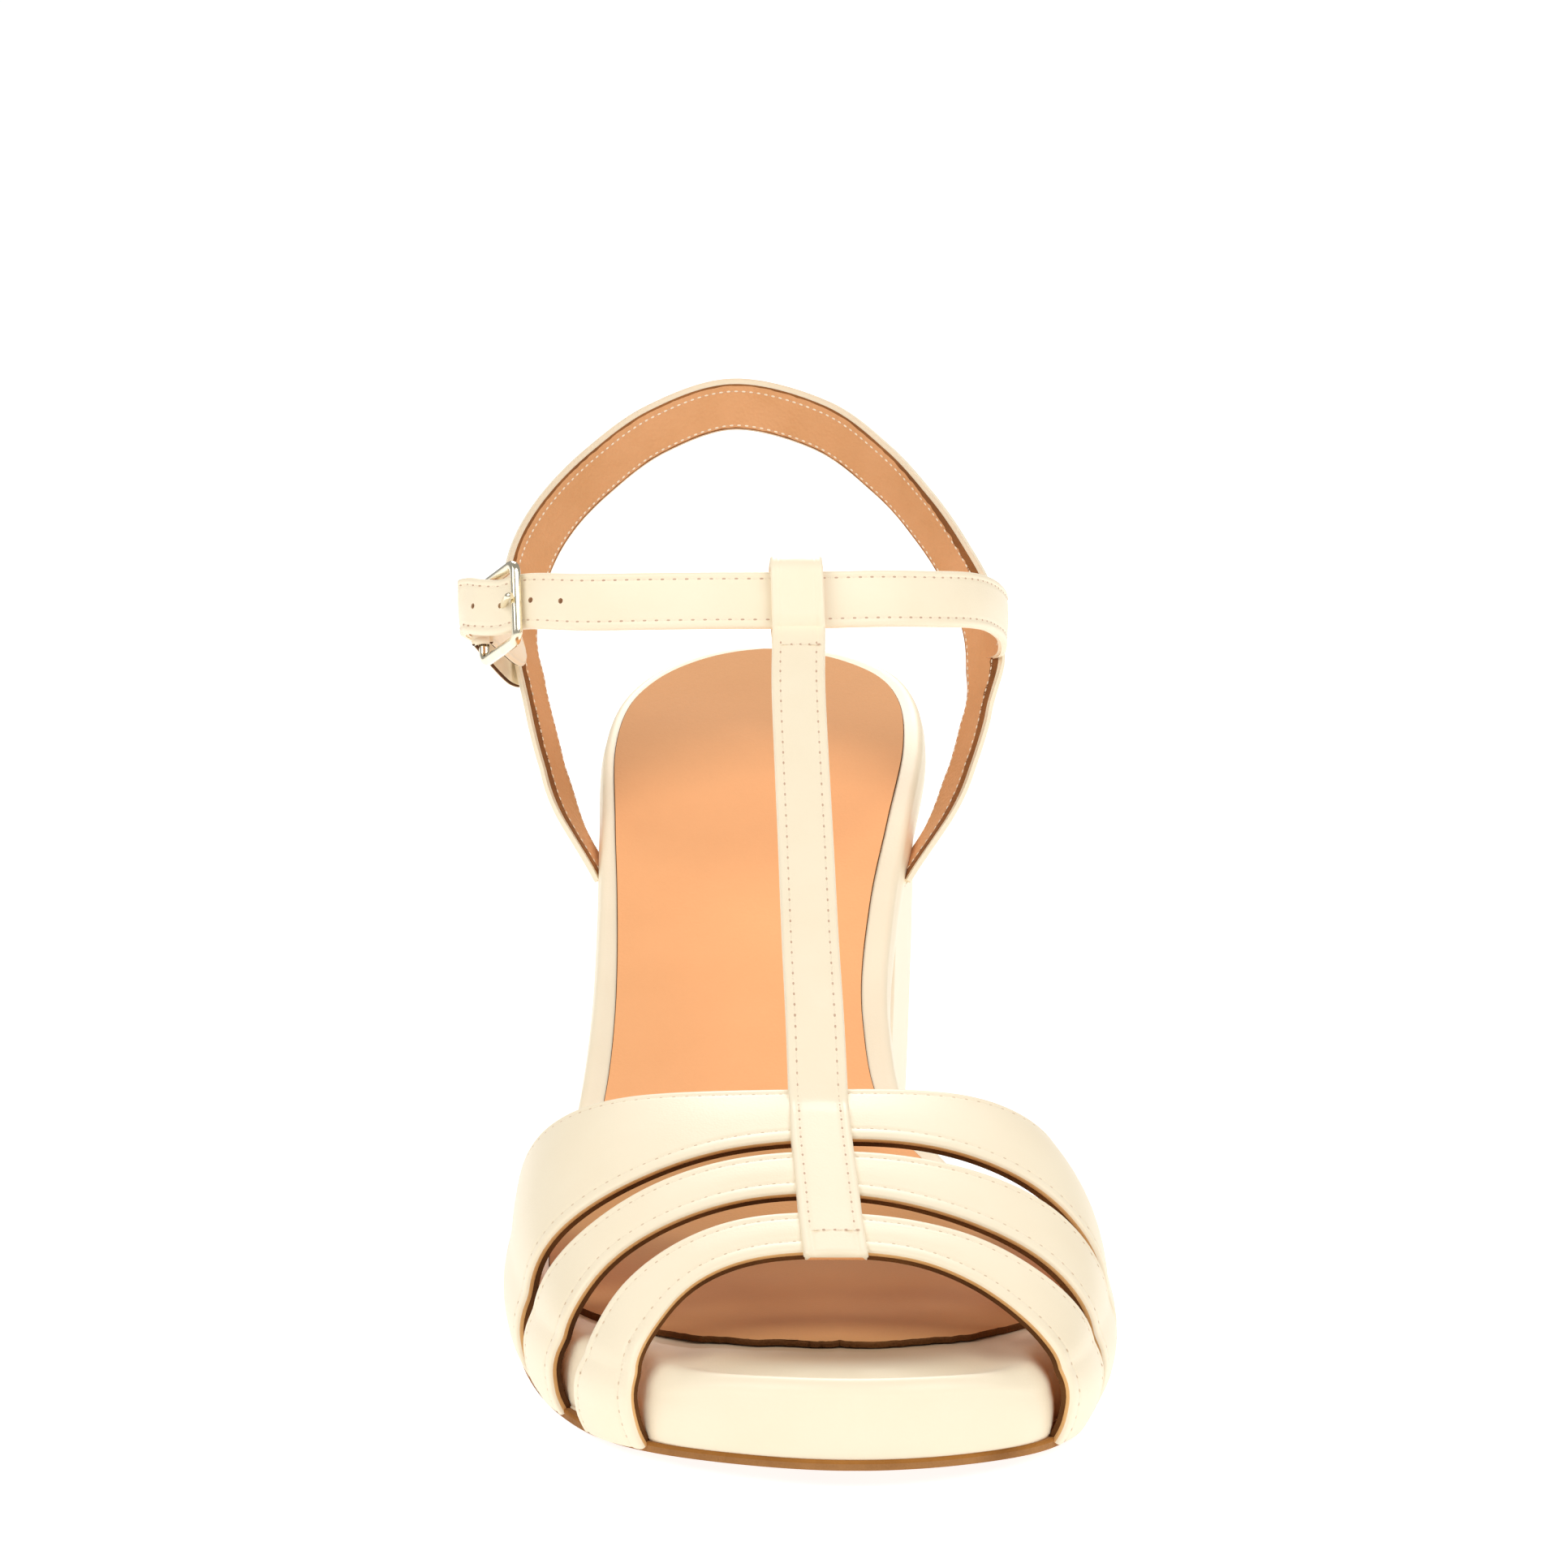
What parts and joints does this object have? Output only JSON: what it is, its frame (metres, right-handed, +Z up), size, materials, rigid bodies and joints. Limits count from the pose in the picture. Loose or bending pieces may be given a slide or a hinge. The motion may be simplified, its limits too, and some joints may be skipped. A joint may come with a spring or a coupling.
{
  "type": "heeled sandal",
  "caption": "Right-foot T-strap sandal with crescent bands over the toes, a thin platform footbed, a block heel and a buckled ankle strap.",
  "frame": {"origin": "middle of the bounding box in plan, on the floor plane under forefoot and heel", "axes": "+Z up, +Y from the toe towards the heel, +X towards the inner side of the foot"},
  "size_m": [0.098, 0.2218, 0.1236],
  "materials": {
    "cream_leather": "smooth cream leather with a soft sheen",
    "tan_leather": "plain tan lining leather",
    "sole_leather": "brown sole leather",
    "heel_rubber": "matt brown rubber",
    "pale_gold": "polished pale gold metal"
  },
  "bodies": {
    "root": {"outsole": "sole_leather", "footbed": "cream_leather", "sock": "tan_leather", "heel_block": "cream_leather", "heel_top_piece": "heel_rubber", "vamp_upper": "cream_leather", "ankle_and_heel_strap": "cream_leather", "buckle_frame": "pale_gold", "buckle_prong": "pale_gold", "buckle_tab": "cream_leather"}
  },
  "joints": []
}
